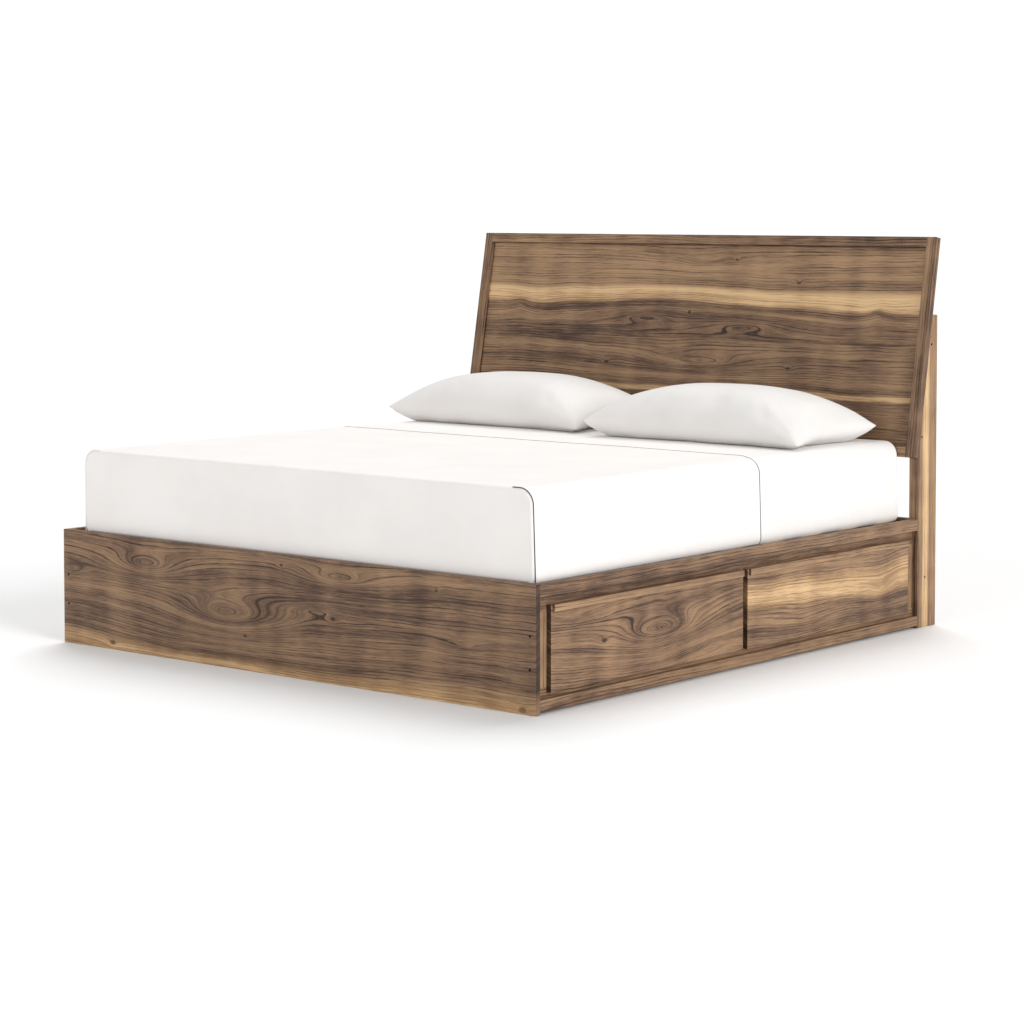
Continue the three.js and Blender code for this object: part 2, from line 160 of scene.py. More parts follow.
# The grain's lines are counted in growth bands across the board.
GROWTH_BAND = 0.020       # m between the main growth bands across a flat-sawn face
THROUGH_BOARD = 0.6       # they pass through a board's thickness at this share of their rate
BEND_ROOM = 4.2           # bands that the slow wander of the grain can shift
RIPPLE_ROOM = 0.6         # bands that the quick ripple can shift
WANDER = (1.6, 3.8, 1.0)  # the wander's rates along, across and through a board, to each metre
RIPPLE = (5.5, 10.0, 3.0)   # the ripple's
SHEEN_BAR_RATES = (9.0, 2.6, 2.0)    # and those of the painted sheen: soft bars of light that lie across the grain
CLOSING = 2.5             # bends of more bands than this close into ovals; weaker ones sway
RING_FALL = 1.25          # how fast a bend dies out from its heart
HEART_SOFTNESS = 0.02     # rounds off the innermost ring
KNOT_REACH = (3.0, 1.6)   # the grain bends round a knot for this many of its radii along and across
KNOT_BEND = 1.2           # bands that it bends there

LINE_DRIFT = 1.3          # how fast a line changes along the board, to each metre
LINES_A_BAND = 2          # thin dark lines to each growth band
LINE_FRAY = 0.5           # bands that their edges fray by
LINE_WIDTH = 0.45         # how broad they are; at 1 each would touch the next
FIBRE = 0.0013            # m across a fibre streak; the real ones are about 0.3 mm, too fine to show
FIBRE_RUN = 0.03          # its rate along the board, as a share of that across it
EDGE_WAVER = 0.014        # m, how far the edges of pale and dark bands waver
PORE_DEPTH = 0.0006       # m, the open pores that the oil doesn't fill

# How much each of these lightens or darkens the wood.
BROAD_SHARE = 0.48        # broad bands
FINE_SHARE = 0.60         # fine lines
FIBRE_SHARE = 0.36        # fibre streaks
SHEEN_BAR_SHARE = 0.24         # painted sheen, bars of light
SHADE_START = -0.325      # brings their sum back to the mid brown
LINE_DEPTH = 0.30         # a growth line
KNOT_DEPTH = 0.22         # a knot's heart
SMOKE_AND_SHADE_DEPTH = 0.12        # a dark band: smoky wood, and painted shade on the posts
END_GRAIN_AND_SHADE_DEPTH = 0.16    # end grain, also painted shade on the drawer fronts' ends
FRAME_SHADE_DEPTH = 0.20          # painted shade along the inside of a frame
FRAME_SHADE_REACH = 0.011         # m, how far it reaches from the frame


def walnut(name, along, across, corner, figures=(), knots=(), sap=(), smoke_and_shade=(), framed=None,
           seed=0.0, warp=1.0, tone=0.0):
    """One board's own walnut. along and across lie on its face and start at corner.
    figures are places where the lines bend: (along, across, half length, half width, bands), and
    strong ones close into ovals; knots are (along, across, radius); sap and smoke_and_shade are
    (middle, half width) pale and dark bands across the board, the dark ones smoky wood on the
    headboard and painted shade on the posts; framed is the (length, height) of a board that sits back
    in a frame, along whose inside painted shade is laid. All in metres. seed is its place in the log,
    warp how much its lines wander and tone how light it is."""
    material, tree, shader = blank_material(name)
    place = add(tree, "VectorMath", [add(tree, "TexCoord").outputs["Object"], tuple(corner)],
                operation="SUBTRACT")
    run, rise, depth = (
        add(tree, "VectorMath", [place, tuple(way)], operation="DOT_PRODUCT").outputs["Value"]
        for way in (along, across, along.cross(across)))
    spot = add(tree, "CombineXYZ", [run, rise, depth])
    slow = add(tree, "VectorMath", [spot, WANDER, (seed, 0.3, seed)], operation="MULTIPLY_ADD")
    slow = add(tree, "TexNoise", {"Vector": slow, "Scale": 1.0, "Detail": 2.0})
    quick = add(tree, "VectorMath", [spot, RIPPLE, (seed, 9.1, seed)], operation="MULTIPLY_ADD")
    quick = add(tree, "TexNoise", {"Vector": quick, "Scale": 1.0, "Detail": 3.0})

    # bands counted across the board, then bent by the wander, the figures and the knots; both
    # noises lie about a half, so half of their room is taken off first
    lines = add(tree, "Math", [rise, 1 / GROWTH_BAND, -0.5 * warp * (BEND_ROOM + RIPPLE_ROOM)],
                operation="MULTIPLY_ADD")
    lines = add(tree, "Math", [depth, THROUGH_BOARD / GROWTH_BAND, lines], operation="MULTIPLY_ADD")
    lines = add(tree, "Math", [slow, BEND_ROOM * warp, lines], operation="MULTIPLY_ADD")
    lines = add(tree, "Math", [quick, RIPPLE_ROOM * warp, lines], operation="MULTIPLY_ADD")
    dark = None
    bends = [(*figure, False) for figure in figures]
    bends += [(at, up, KNOT_REACH[0] * radius, KNOT_REACH[1] * radius, KNOT_BEND, True)
              for at, up, radius in knots]
    for at, up, half_long, half_wide, strength, is_knot in bends:
        far = add(tree, "VectorMath", [spot, (1 / half_long, 1 / half_wide, 0),
                                       (-at / half_long, -up / half_wide, 0)], operation="MULTIPLY_ADD")
        far = add(tree, "VectorMath", [far, far], operation="DOT_PRODUCT").outputs["Value"]
        # a bend falls away evenly from its heart, so its rings lie evenly too
        reach = add(tree, "Math", [add(tree, "Math", [far, HEART_SOFTNESS], operation="ADD")],
                    operation="SQRT")
        bump = add(tree, "Math", [add(tree, "Math", [reach, -RING_FALL], operation="MULTIPLY")],
                   operation="EXPONENT")
        if abs(strength) > CLOSING:
            # the lines close round this heart: near it they no longer climb across the board
            strength = add(tree, "Math", [rise, -1 / GROWTH_BAND, up / GROWTH_BAND + strength],
                           operation="MULTIPLY_ADD")
        lines = add(tree, "Math", [bump, strength, lines], operation="MULTIPLY_ADD")
        if is_knot:
            core = add(tree, "MapRange", {"Value": far, "From Min": 0.0, "From Max": 0.6,
                                          "To Min": KNOT_DEPTH, "To Max": 0.0},
                       interpolation_type="SMOOTHSTEP")
            dark = core if dark is None else add(tree, "Math", [dark, core], operation="ADD")

    # the lines' strengths drift along the board much more slowly than across it
    drift = add(tree, "Math", [run, LINE_DRIFT, seed], operation="MULTIPLY_ADD")
    drift = add(tree, "CombineXYZ", [drift, lines, depth])
    broad = add(tree, "TexNoise", {"Vector": drift, "Scale": 0.5, "Detail": 2.0, "Roughness": 0.5})
    fine = add(tree, "TexNoise", {"Vector": drift, "Scale": 3.4, "Detail": 6.0, "Roughness": 0.75})
    fibre = add(tree, "VectorMath", [spot, (FIBRE_RUN / FIBRE, 1 / FIBRE, 1 / FIBRE)],
                operation="MULTIPLY")
    fibre = add(tree, "TexNoise", {"Vector": fibre, "Scale": 1.0, "Detail": 3.0, "Roughness": 0.6})
    # each growth line is thin and dark, and comes and goes along the board
    beat = add(tree, "Math", [fine, LINE_FRAY, lines], operation="MULTIPLY_ADD")
    beat = add(tree, "Math", [beat, LINES_A_BAND * math.pi], operation="MULTIPLY")
    beat = add(tree, "Math", [add(tree, "Math", [beat], operation="SINE")], operation="ABSOLUTE")
    thin = add(tree, "MapRange", {"Value": beat, "From Min": 0.0, "From Max": LINE_WIDTH, "To Min": 1.0,
                                  "To Max": 0.0}, interpolation_type="SMOOTHSTEP")
    comes = add(tree, "TexNoise", {"Vector": drift, "Scale": 1.2, "Detail": 1.0})
    comes = add(tree, "MapRange", {"Value": comes, "From Min": 0.38, "From Max": 0.62, "To Min": 0.0,
                                   "To Max": LINE_DEPTH})
    thin = add(tree, "Math", [thin, comes], operation="MULTIPLY")
    # painted sheen: soft bars of light across the board, where the fibres dip and catch it, painted into
    # the colour
    painted_sheen = add(tree, "VectorMath", [spot, SHEEN_BAR_RATES, (seed, seed, 4.0)], operation="MULTIPLY_ADD")
    painted_sheen = add(tree, "TexNoise", {"Vector": painted_sheen, "Scale": 1.0, "Detail": 1.0})
    shade = add(tree, "Math", [broad, BROAD_SHARE, tone + SHADE_START], operation="MULTIPLY_ADD")
    for pattern, share in ((fine, FINE_SHARE), (fibre, FIBRE_SHARE), (painted_sheen, SHEEN_BAR_SHARE)):
        shade = add(tree, "Math", [pattern, share, shade], operation="MULTIPLY_ADD")
    shade = add(tree, "Math", [shade, thin], operation="SUBTRACT")
    if dark is not None:
        shade = add(tree, "Math", [shade, dark], operation="SUBTRACT")
    level = add(tree, "Math", [lines, GROWTH_BAND], operation="MULTIPLY")
    level = add(tree, "Math", [fine, EDGE_WAVER, level], operation="MULTIPLY_ADD")

    def bands(places):
        """Where the grain lies in any of some bands across the board."""
        mask = None
        for middle, half in places:
            off = add(tree, "Math", [level, middle + EDGE_WAVER / 2], operation="SUBTRACT")
            off = add(tree, "Math", [off], operation="ABSOLUTE")
            band = add(tree, "MapRange", {"Value": off, "From Min": half * 0.5, "From Max": half * 1.25,
                                          "To Min": 1.0, "To Max": 0.0}, interpolation_type="SMOOTHSTEP")
            mask = band if mask is None else add(tree, "Math", [mask, band], operation="MAXIMUM")
        return mask

    if smoke_and_shade:
        shade = add(tree, "Math", [bands(smoke_and_shade), -SMOKE_AND_SHADE_DEPTH, shade], operation="MULTIPLY_ADD")
    # end grain is drawn darker: oiled end grain is darker, and on the drawer fronts' ends, which face
    # into narrow gaps, it also stands as painted shade
    facing = add(tree, "VectorMath", [add(tree, "NewGeometry").outputs["Normal"], tuple(along)],
                 operation="DOT_PRODUCT").outputs["Value"]
    facing = add(tree, "Math", [facing], operation="ABSOLUTE")
    end = add(tree, "MapRange", {"Value": facing, "From Min": 0.6, "From Max": 0.95, "To Min": 0.0,
                                 "To Max": END_GRAIN_AND_SHADE_DEPTH})
    shade = add(tree, "Math", [shade, end], operation="SUBTRACT")
    if framed:
        # painted shade along the inside of the frame, at the board's two ends and its top, where the
        # frame shades the board set back in it
        near = add(tree, "Math", [run, add(tree, "Math", [framed[0], run], operation="SUBTRACT")],
                   operation="MINIMUM")
        near = add(tree, "Math", [near, add(tree, "Math", [framed[1], rise], operation="SUBTRACT")],
                   operation="MINIMUM")
        rim = add(tree, "MapRange", {"Value": near, "From Min": 0.001, "From Max": FRAME_SHADE_REACH,
                                     "To Min": FRAME_SHADE_DEPTH, "To Max": 0.0},
                  interpolation_type="SMOOTHSTEP")
        shade = add(tree, "Math", [shade, rim], operation="SUBTRACT")

    colour = colours(add(tree, "ValToRGB", [shade]), (0.22, HEART_DARK), (0.36, HEART_LINE),
                     (0.47, HEART_MID), (0.66, HEART_LIGHT))
    if sap:
        pale = colours(add(tree, "ValToRGB", [shade]), (0.24, HEART_MID), (0.38, SAP_DARK),
                       (0.60, SAP_LIGHT))
        colour = add(tree, "Mix", {0: bands(sap), 6: colour, 7: pale}, data_type="RGBA").outputs[2]
    tree.links.new(colour, shader.inputs["Base Color"])
    gloss = add(tree, "MapRange", {"Value": shade, "From Min": 0.35, "From Max": 0.7,
                                   "To Min": SATIN[0], "To Max": SATIN[1]})
    tree.links.new(gloss.outputs[0], shader.inputs["Roughness"])
    shader.inputs["Specular IOR Level"].default_value = WALNUT_GLOSS
    pores = add(tree, "Math", [fine, 0.5, fibre], operation="MULTIPLY_ADD")
    relief = add(tree, "Bump", {"Strength": 0.12, "Distance": PORE_DEPTH, "Height": pores})
    tree.links.new(relief.outputs[0], shader.inputs["Normal"])
    return material


EASED_EDGE = 0.0012       # m, every arris of a show board is sanded round
EASED_INNER = 0.0008      # m, hidden boards are only broken with a plane
SHARP_TURN = 28           # degrees; flatter joins between facets are left alone


def board(node, material, body, edge):
    """A board as the joiner leaves it, with its arrises eased."""
    piece = place_piece(node + "_board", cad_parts[node].data.copy(), body, material)
    ease = piece.modifiers.new("eased", "BEVEL")
    ease.width = edge
    ease.segments = 2
    ease.limit_method = "ANGLE"
    ease.angle_limit = math.radians(SHARP_TURN)
    settle(piece)
    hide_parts(node)


CORNER_DROP = 0.004       # m, a leaning plank's box starts this far below its front face
NO_RAIL_ABOVE = 9.0       # m, out of reach, for a plank with another above it


def opening(node):
    """The length and the height of a headboard plank, measured up its slope."""
    low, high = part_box(node)
    size = high - low
    height = (size.z * math.cos(LEAN) - size.y * math.sin(LEAN)) / math.cos(2 * LEAN)
    return size.x, height + CORNER_DROP


# Each show board: the way its grain runs, the way across it, and its own place in the log and figure.
stile = dict(along=UP_HEADBOARD, across=X, warp=0.3, tone=-0.07)
# On each post the dark band lies on the inner part of its foot-facing front: painted shade where the
# mattress shades that face.
post = dict(along=Z, across=Y, sap=[(0.030, 0.022)], smoke_and_shade=[(-0.027, 0.020)], warp=0.12, tone=0.03)
show_boards = {
    # one wide board, sap along its lower edge, long ovals above
    "footboard_panel": dict(
        along=X, across=Z, seed=1.3, warp=0.55, tone=-0.045, sap=[(-0.010, 0.070)],
        figures=[(0.40, 0.300, 0.20, 0.048, 5.0), (0.78, 0.178, 0.30, 0.078, 8.0),
                 (1.27, 0.330, 0.16, 0.030, 3.4), (1.16, 0.215, 0.22, 0.022, -1.6),
                 (1.78, 0.170, 0.24, 0.034, 1.9), (0.04, 0.25, 0.14, 0.035, 2.6)],
        knots=[(1.24, 0.200, 0.006), (0.24, 0.022, 0.008), (0.86, 0.108, 0.004), (1.02, 0.345, 0.004),
               (1.66, 0.325, 0.004), (1.99, 0.012, 0.008)]),
    "headboard_upper_plank": dict(
        along=X, across=UP_HEADBOARD, seed=4.1, warp=0.55, tone=0.045, sap=[(0.160, 0.036)],
        smoke_and_shade=[(0.112, 0.022), (0.030, 0.052)], framed=opening("headboard_upper_plank"),
        figures=[(0.78, 0.075, 0.22, 0.036, -2.8), (1.24, 0.050, 0.20, 0.034, -2.8),
                 (0.20, 0.150, 0.18, 0.07, 1.8), (1.76, 0.150, 0.17, 0.07, 1.8),
                 (0.17, 0.115, 0.06, 0.06, -1.9), (1.79, 0.115, 0.06, 0.06, -1.9),
                 (1.05, 0.290, 0.34, 0.05, 2.2)],
        knots=[(0.98, 0.10, 0.005), (1.45, 0.22, 0.005), (1.17, 0.30, 0.004)]),
    "headboard_lower_plank": dict(
        along=X, across=UP_HEADBOARD, seed=7.7, warp=0.6, tone=-0.03, sap=[(0.165, 0.012)],
        framed=(opening("headboard_lower_plank")[0], NO_RAIL_ABOVE),
        figures=[(1.05, 0.270, 0.30, 0.04, 3.4), (1.55, 0.09, 0.2, 0.05, -2.4)],
        knots=[(0.62, 0.25, 0.006), (1.44, 0.255, 0.005)]),
    "headboard_left_stile": dict(stile, seed=35.0),
    "headboard_right_stile": dict(stile, seed=36.0),
    "headboard_top_rail": dict(along=X, across=UP_HEADBOARD, seed=37.0, warp=0.5, tone=-0.02),
    "headboard_bottom_rail": dict(along=X, across=UP_HEADBOARD, seed=38.0, warp=0.5),
    "left_post": dict(post, seed=31.0),
    "right_post": dict(post, seed=32.0),
    "head_rail": dict(along=X, across=Z, seed=40.0, figures=[(0.9, 0.2, 0.4, 0.05, 4.0)]),
    "rear_brace": dict(along=X, across=Z, seed=41.0, warp=0.5),
    "left_side_rail": dict(along=Y, across=Z, seed=42.0, sap=[(0.35, 0.025)],
                           figures=[(0.6, 0.2, 0.3, 0.06, 5.5), (1.5, 0.15, 0.3, 0.04, 4.0)],
                           knots=[(1.02, 0.25, 0.006)]),
    "right_top_rail": dict(along=Y, across=Z, seed=43.0, warp=0.5, tone=-0.04),
    "right_bottom_rail": dict(along=Y, across=Z, seed=44.0, warp=0.5, tone=-0.02),
    # The face frame sits back behind the rails and the drawer fronts: the lowered tones of its top and
    # bottom members and of its centre and head stiles are painted shade of that recess.
    "face_top_member": dict(along=Y, across=Z, seed=45.0, warp=0.6, tone=-0.09),
    "face_bottom_member": dict(along=Y, across=Z, seed=46.0, warp=0.6, tone=-0.05),
    "face_foot_stile": dict(along=Z, across=Y, seed=47.0, warp=0.6, tone=0.02),
    "face_centre_stile": dict(along=Z, across=Y, seed=48.0, warp=0.6, tone=-0.05),
    "face_head_stile": dict(along=Z, across=Y, seed=49.0, warp=0.6, tone=-0.05),
}
drawer_boards = {
    "drawer_foot_front": dict(
        along=Y, across=Z, seed=11.9, warp=0.7, tone=-0.02,
        figures=[(0.52, 0.125, 0.30, 0.075, 8.0), (0.82, 0.040, 0.18, 0.04, -2.4),
                 (0.12, 0.2, 0.2, 0.05, 2.0)],
        knots=[(0.25, 0.12, 0.007), (0.53, 0.125, 0.003)]),
    "drawer_head_front": dict(
        along=Y, across=Z, seed=14.2, warp=0.9, tone=-0.02, sap=[(0.175, 0.05)],
        figures=[(0.30, 0.060, 0.26, 0.070, 2.5), (0.78, 0.110, 0.20, 0.09, 2.5)]),
    "drawer_foot_pull": dict(along=Y, across=Z, seed=17.0, warp=0.4, tone=0.03),
    "drawer_head_pull": dict(along=Y, across=Z, seed=18.0, warp=0.4, tone=0.05),
}
for node, figure in (show_boards | drawer_boards).items():
    body = node.rsplit("_", 1)[0] if node in drawer_boards else "bed_frame"
    board(node, walnut("walnut_" + node, corner=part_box(node)[0], **figure), body, EASED_EDGE)

# ---- inner woods

STREAK = 0.004            # m across one streak of a plain straight-grained wood
STREAK_LENGTH = 0.12      # m along it


def plain_wood(name, along, dark, light, roughness):
    """A quiet wood whose straight streaks run along X, Y or Z."""
    material, tree, shader = blank_material(name)
    rates = [1 / STREAK_LENGTH if along[n] else 1 / STREAK for n in range(3)]
    place = add(tree, "VectorMath", [add(tree, "TexCoord").outputs["Object"], rates],
                operation="MULTIPLY")
    streak = add(tree, "TexNoise", {"Vector": place, "Scale": 1.0, "Detail": 5.0, "Roughness": 0.6})
    colour = colours(add(tree, "ValToRGB", [streak]), (0.3, dark), (0.7, light))
    tree.links.new(colour, shader.inputs["Base Color"])
    shader.inputs["Roughness"].default_value = roughness
    relief = add(tree, "Bump", {"Strength": 0.1, "Distance": 0.0005, "Height": streak})
    tree.links.new(relief.outputs[0], shader.inputs["Normal"])
    return material


# Birch ply, sanded and left matt: pale and faintly streaked. Planed poplar slats, a little yellower.
birch_across, birch_along, birch_upright = (
    plain_wood("birch_ply_sanded_" + way, axis, "#a98b68", "#cab089", 0.62)
    for way, axis in (("across", X), ("along", Y), ("upright", Z)))
poplar = plain_wood("poplar_planed", X, "#bd9d70", "#dcc49a", 0.7)
# The ledges show in the gap beside the mattress; their dark brown is painted shade for that gap.
ledge_shade_poplar = plain_wood("poplar_painted_shade_brown", Y, "#33271f", "#5a4535", 0.6)

plain_boards = [
    (poplar, "slat_wood", [f"slat_{n}" for n in range(1, 10)]),
    (birch_across, "inner_wood", ["case_divider", "case_foot_panel", "case_head_panel", "case_floor",
                                  "runner_foot_a", "runner_foot_b", "runner_head_a", "runner_head_b"]),
    (birch_along, "inner_wood", ["case_back", "centre_beam"]),
    (ledge_shade_poplar, "inner_wood", ["left_slat_ledge", "right_slat_ledge"]),
    (birch_upright, "inner_wood", ["beam_leg_1", "beam_leg_2"])]
for material, slot, nodes in plain_boards:
    for node in nodes:
        board(node, material, "bed_frame", EASED_INNER)
for body in ("drawer_foot", "drawer_head"):
    for part, material in (("side_a", birch_across), ("side_b", birch_across),
                           ("back", birch_along), ("bottom", birch_along)):
        board(f"{body}_{part}", material, body, EASED_INNER)

# ---- cap screws

# Blackened steel furniture screws sunk in their recesses: dark, smooth, with a hexagon socket.
SCREW_HEAD = 0.0041       # m radius, a little under the recess
SCREW_SUNK = 0.0012       # m below the wood's face
SCREW_DEEP = 0.0042       # m from its face to the recess floor
SOCKET = 0.0023           # m across the hexagon's corners, halved
SOCKET_DEEP = 0.002       # m
SCREW_RIM = 0.0005        # m, its rim is eased by this
SCREW_SIDES = 24


def blackened_steel():
    """Oxidised and oiled steel: almost black, with a soft uneven shine."""
    material, tree, shader = blank_material("steel_blackened")
    spots = add(tree, "TexNoise", {"Vector": add(tree, "TexCoord").outputs["Object"], "Scale": 900.0,
                                   "Detail": 3.0})
    colour = colours(add(tree, "ValToRGB", [spots]), (0.35, "#1c1a18"), (0.7, "#35312d"))
    tree.links.new(colour, shader.inputs["Base Color"])
    shine = add(tree, "MapRange", {"Value": spots, "To Min": 0.32, "To Max": 0.55})
    tree.links.new(shine.outputs[0], shader.inputs["Roughness"])
    shader.inputs["Metallic"].default_value = 1.0
    return material


def screw_head(builder, face, outward):
    """A cap screw head facing outward: rings from its back, round the eased rim and into the socket."""
    sideways = outward.cross(Z).normalized()
    rings = [(SCREW_HEAD, SCREW_SUNK + SCREW_DEEP), (SCREW_HEAD, SCREW_SUNK + SCREW_RIM),
             (SCREW_HEAD - SCREW_RIM, SCREW_SUNK), (SOCKET, SCREW_SUNK),
             (SOCKET, SCREW_SUNK + SOCKET_DEEP)]
    loops = []
    for radius, sunk in rings:
        loop = []
        for k in range(SCREW_SIDES):
            turn = 2 * math.pi * k / SCREW_SIDES
            reach = radius
            if radius == SOCKET:
                # here the points slide onto the hexagon's sides
                away = (turn + math.pi / 6) % (math.pi / 3) - math.pi / 6
                reach = radius * math.cos(math.pi / 6) / math.cos(away)
            loop.append(builder.verts.new(face - outward * sunk + sideways * (reach * math.cos(turn))
                                          + Z * (reach * math.sin(turn))))
        loops.append(loop)
    for low, high in zip(loops, loops[1:]):
        for k in range(SCREW_SIDES):
            after = (k + 1) % SCREW_SIDES
            builder.faces.new([low[k], low[after], high[after], high[k]])
    builder.faces.new(loops[0][::-1])
    builder.faces.new(loops[-1])


# The recesses' places: heights from the floor, setbacks from a post's front.
FOOT_SCREW_INSET = 0.023
FOOT_SCREW_HEIGHTS = (0.13041, 0.227934)
POST_LOW_SCREW = 0.173
POST_LOW_SCREW_SETBACK = 0.049
POST_HIGH_SCREWS = (0.660, 0.977)
POST_HIGH_SCREW_SETBACK = 0.011      # behind the headboard's slanted rear face
foot_low, foot_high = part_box("footboard_panel")
headboard_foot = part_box("headboard_right_stile")[0].z


def post_screws(node, outward):
    """Where a post's three screws sit on its outer face."""
    low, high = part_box(node)
    face = low.x if outward.x < 0 else high.x
    spots = [Vector((face, low.y + POST_LOW_SCREW_SETBACK, POST_LOW_SCREW))]
    for height in POST_HIGH_SCREWS:
        back = (height - headboard_foot) * math.tan(LEAN) + POST_HIGH_SCREW_SETBACK
        spots.append(Vector((face, low.y + back, height)))
    return [(spot, outward) for spot in spots]


screws = {
    "footboard_cap_screws": [(Vector((end, foot_low.y, height)), -Y)
                             for end in (foot_low.x + FOOT_SCREW_INSET, foot_high.x - FOOT_SCREW_INSET)
                             for height in FOOT_SCREW_HEIGHTS],
    "left_post_cap_screws": post_screws("left_post", -X),
    "right_post_cap_screws": post_screws("right_post", X),
}
steel = blackened_steel()
for name, spots in screws.items():
    builder = bmesh.new()
    for spot, outward in spots:
        screw_head(builder, spot, outward)
    bmesh.ops.recalc_face_normals(builder, faces=builder.faces)
    mesh = mesh_from(builder, name)
    mesh.shade_flat()
    place_piece(name, mesh, "bed_frame", steel)

# ---- cotton

# Cotton percale, washed and pressed: white with a breath of warmth, matt, with a fine soft halo at
# grazing angles and a plain weave.
THREAD = 0.0016           # m between drawn threads; the real ones are about 0.3 mm, too fine to show
COTTON_SHADE = "#f0ece9"
COTTON_LIGHT = "#f3f0ed"


def cotton(name, shade, light):
    material, tree, shader = blank_material(name)
    place = add(tree, "TexCoord").outputs["Object"]
    cloudy = add(tree, "TexNoise", {"Vector": place, "Scale": 5.0, "Detail": 4.0, "Roughness": 0.6})
    colour = colours(add(tree, "ValToRGB", [cloudy]), (0.35, shade), (0.65, light))
    tree.links.new(colour, shader.inputs["Base Color"])
    # threads cross on all three faces of a block, so each axis has its own ribs
    turned = add(tree, "VectorMath", [place, (2 * math.pi / THREAD,) * 3], operation="MULTIPLY")
    ribs = add(tree, "SeparateXYZ", [add(tree, "VectorMath", [turned], operation="SINE")])
    weave = add(tree, "Math", [ribs.outputs[0], ribs.outputs[1]], operation="MULTIPLY")
    weave = add(tree, "Math", [weave, ribs.outputs[2]], operation="ADD")
    slubs = add(tree, "TexNoise", {"Vector": place, "Scale": 260.0, "Detail": 2.0})
    height = add(tree, "Math", [slubs, 1.2, weave], operation="MULTIPLY_ADD")
    relief = add(tree, "Bump", {"Strength": 0.10, "Distance": 0.0004, "Height": height})
    tree.links.new(relief.outputs[0], shader.inputs["Normal"])
    dry = add(tree, "MapRange", {"Value": slubs, "To Min": 0.82, "To Max": 0.95})
    tree.links.new(dry.outputs[0], shader.inputs["Roughness"])
    shader.inputs["Specular IOR Level"].default_value = 0.2
    shader.inputs["Sheen Weight"].default_value = 0.12
    shader.inputs["Sheen Roughness"].default_value = 0.4
    return material


percale = cotton("cotton_percale_pressed", COTTON_SHADE, COTTON_LIGHT)
# The pillowcases are a slightly darker copy of the sheet's cotton: painted shade for the greyer light
# that falls on the pillows.
shaded_pillow_percale = cotton("cotton_percale_pillowcase_painted_shade", "#e7e4e1", "#eae8e6")
# The hem is turned twice and stitched. The hem and the drawer-side corner seam are drawn in dark grey:
# painted shadow along the hem's fold and the seam's line.
painted_shadow_cotton = cotton("cotton_hem_painted_shadow", "#444240", "#54514e")

# ---- mattress and sheet

ROUND_STEPS = 7           # rows of faces across half of a rounded edge
END_STEPS = 3             # and across half of a tight one
CLOTH_STEP = 0.013        # m between the rows of a mattress or sheet
END_ROUND = 0.007         # m, the tight edge round each end
TOP_ROUND = 0.046         # m, the soft edge along the top
BASE_ROUND = 0.030        # m, and along the bottom
ROW_ROOM = 0.002          # m, the least between the tight edge's rows and the soft edge's
HEAD_TAPER = 0.028        # m, how much narrower the made-up bed is at its head
TOP_TAPER = 0.010         # m, how far its drawer side leans in
SIDE_HEM_SKEW = 0.053     # m, how far the hem hanging on the drawer side swings towards the foot
SKEW_START = 0.14         # m in from that side, where the swing starts on the top
SKEW_TURN = 0.09          # m that it takes to swing over
SKEW_REACH = 0.5          # m towards the foot before it has died out


def bend_rows(radius, steps):
    """Distances in from an edge that fall evenly round its curve."""
    return [radius - radius * math.tan(math.radians(45 * (1 - k / steps))) for k in range(steps)]


def rows_between(low, high, radius, grow):
    """Places along one side of a block, closer together where it curves."""
    edge = set(bend_rows(END_ROUND + grow, END_STEPS) + [END_ROUND + grow])
    if radius:
        edge |= {c for c in bend_rows(radius + grow, ROUND_STEPS)
                 if c == 0 or c > END_ROUND + ROW_ROOM}
    edge = sorted(edge)
    inner = max(radius + grow, edge[-1] + 2 * ROW_ROOM)
    count = max(1, round((high - low - 2 * inner) / CLOTH_STEP))
    middle = [low + inner + (high - low - 2 * inner) * k / count for k in range(count + 1)]
    return [low + c for c in edge] + middle + [high - c for c in reversed(edge)]


